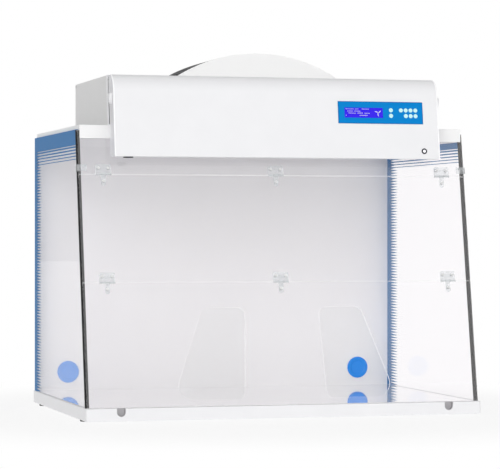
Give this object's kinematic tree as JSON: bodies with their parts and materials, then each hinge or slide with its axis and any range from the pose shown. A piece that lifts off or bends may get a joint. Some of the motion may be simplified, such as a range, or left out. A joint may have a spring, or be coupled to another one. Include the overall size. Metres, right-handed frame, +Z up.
{
  "type": "ductless fume hood",
  "caption": "Benchtop ductless fume hood: clear sides, folding tilted window with arm openings, keypad header with lift-up cover, filter and fan, arched exhaust cowl.",
  "frame": {"origin": "on the floor under the middle of the base slab", "axes": "+X to the user's right, +Y towards the back, +Z up"},
  "size_m": [1.2, 0.842, 1.095],
  "materials": {
    "base_white": "satin powder coat",
    "worktop_white": "glossy laminate",
    "foot_rubber": "matt",
    "cup_grey": "matt moulded",
    "panel_clear": "clear acrylic with printed stripes",
    "window_clear": "clear acrylic",
    "hinge_clear": "clear moulded acrylic",
    "panel_white": "satin laminate",
    "plug_blue": "moulded",
    "seal_black": "matt",
    "sheet_white": "satin powder coat",
    "sheet_side": "satin powder coat",
    "grille_grey": "matt powder coat",
    "grille_white": "satin powder coat",
    "cheek_clear": "frosted acrylic",
    "grip_white": "moulded",
    "screw_steel": "bright",
    "plate_blue": "printed film",
    "display_blue": "backlit",
    "board_green": "solder mask",
    "button_cyan": "moulded",
    "lock_chrome": "bright",
    "port_rubber": "matt",
    "strike_steel": "bright",
    "lamp_white": "satin",
    "tube_white": "frosted",
    "foam_black": "foam",
    "mat_white": "fibre mat",
    "filter_black": "granules in a frame",
    "wedge_grey": "matt",
    "deck_steel": "galvanised",
    "fan_black": "moulded",
    "motor_steel": "satin",
    "supply_steel": "brushed",
    "inlet_black": "moulded"
  },
  "bodies": {
    "cabinet": {"base_slab": "base_white", "base_feet": "foot_rubber", "finger_cups": "cup_grey", "worktop": "worktop_white", "side_panel_left": "panel_clear", "side_panel_right": "panel_clear", "window_seals": "seal_black", "back_panel": "panel_white", "service_plugs": "plug_blue", "top_frame": "sheet_white", "ceiling_grille": "grille_white", "window_upper": "window_clear", "window_clips": "hinge_clear", "hinge_leaves_upper": "hinge_clear", "hinge_fasteners_upper": "screw_steel", "header_case": "sheet_side", "header_ring": "sheet_white", "header_fasteners": "screw_steel", "lock_strike": "strike_steel", "lamp_housing": "lamp_white", "lamp_tube": "tube_white", "cowl_end_plates": "sheet_white", "cowl_grille": "grille_grey", "filter_seal": "foam_black", "prefilter": "mat_white", "carbon_filter": "filter_black", "filter_wedges": "wedge_grey", "fan_deck": "deck_steel", "inlet_ring": "deck_steel", "fan_stator": "motor_steel", "motor_bridge": "deck_steel", "power_supply": "supply_steel", "power_inlet": "inlet_black"},
    "window_middle_panel": {"window_middle": "window_clear", "hinge_tails_upper": "hinge_clear", "hinge_leaves_lower": "hinge_clear", "hinge_fasteners_middle": "screw_steel"},
    "window_lower_panel": {"window_lower": "window_clear", "hinge_tails_lower": "hinge_clear", "hinge_fasteners_lower": "screw_steel"},
    "header_cover": {"cover_skin": "sheet_white", "cover_cheeks": "cheek_clear", "cover_grips": "grip_white", "port_plug": "port_rubber", "control_plate": "plate_blue", "display_module": "display_blue", "control_board": "board_green", "lock_barrel": "lock_chrome"},
    "lock_plug": {"lock_plug": "lock_chrome"},
    "fan": {"fan_impeller": "fan_black", "fan_rotor": "motor_steel"},
    "button_1": {"button_1": "button_cyan"},
    "button_2": {"button_2": "button_cyan"},
    "button_3": {"button_3": "button_cyan"},
    "button_4": {"button_4": "button_cyan"},
    "button_5": {"button_5": "button_cyan"},
    "button_6": {"button_6": "button_cyan"},
    "button_7": {"button_7": "button_cyan"},
    "button_8": {"button_8": "button_cyan"},
    "button_9": {"button_9": "button_cyan"}
  },
  "joints": [
    {"name": "cover_lift", "type": "hinge", "parent": "cabinet", "child": "header_cover", "pos_m": [0, -0.25885, 0.999], "axis": [-1, 0, 0], "range_deg": [0, 80]},
    {"name": "window_middle_swing", "type": "hinge", "parent": "cabinet", "child": "window_middle_panel", "pos_m": [0, -0.29074, 0.7189], "axis": [-1, 0, 0], "range_deg": [0, 90]},
    {"name": "window_lower_swing", "type": "hinge", "parent": "window_middle_panel", "child": "window_lower_panel", "pos_m": [0, -0.34622, 0.40425], "axis": [-1, 0, 0], "range_deg": [0, 90]},
    {"name": "lock_turn", "type": "hinge", "parent": "header_cover", "child": "lock_plug", "pos_m": [0.45, -0.33887, 0.79279], "axis": [0, 0.9912, -0.1323], "range_deg": [0, 90]},
    {"name": "fan_spin", "type": "hinge", "parent": "cabinet", "child": "fan", "pos_m": [0, 0.021, 0.98], "axis": [0, 0, 1], "continuous": true},
    {"name": "button_1_press", "type": "slide", "parent": "header_cover", "child": "button_1", "axis": [0, 0.9912, -0.1323], "range_m": [0, 0.0008], "stiffness_N_per_m": 300, "springref_m": -0.001},
    {"name": "button_2_press", "type": "slide", "parent": "header_cover", "child": "button_2", "axis": [0, 0.9912, -0.1323], "range_m": [0, 0.0008], "stiffness_N_per_m": 300, "springref_m": -0.001},
    {"name": "button_3_press", "type": "slide", "parent": "header_cover", "child": "button_3", "axis": [0, 0.9912, -0.1323], "range_m": [0, 0.0008], "stiffness_N_per_m": 300, "springref_m": -0.001},
    {"name": "button_4_press", "type": "slide", "parent": "header_cover", "child": "button_4", "axis": [0, 0.9912, -0.1323], "range_m": [0, 0.0008], "stiffness_N_per_m": 300, "springref_m": -0.001},
    {"name": "button_5_press", "type": "slide", "parent": "header_cover", "child": "button_5", "axis": [0, 0.9912, -0.1323], "range_m": [0, 0.0008], "stiffness_N_per_m": 300, "springref_m": -0.001},
    {"name": "button_6_press", "type": "slide", "parent": "header_cover", "child": "button_6", "axis": [0, 0.9912, -0.1323], "range_m": [0, 0.0008], "stiffness_N_per_m": 300, "springref_m": -0.001},
    {"name": "button_7_press", "type": "slide", "parent": "header_cover", "child": "button_7", "axis": [0, 0.9912, -0.1323], "range_m": [0, 0.0008], "stiffness_N_per_m": 300, "springref_m": -0.001},
    {"name": "button_8_press", "type": "slide", "parent": "header_cover", "child": "button_8", "axis": [0, 0.9912, -0.1323], "range_m": [0, 0.0008], "stiffness_N_per_m": 300, "springref_m": -0.001},
    {"name": "button_9_press", "type": "slide", "parent": "header_cover", "child": "button_9", "axis": [0, 0.9912, -0.1323], "range_m": [0, 0.0008], "stiffness_N_per_m": 300, "springref_m": -0.001}
  ]
}
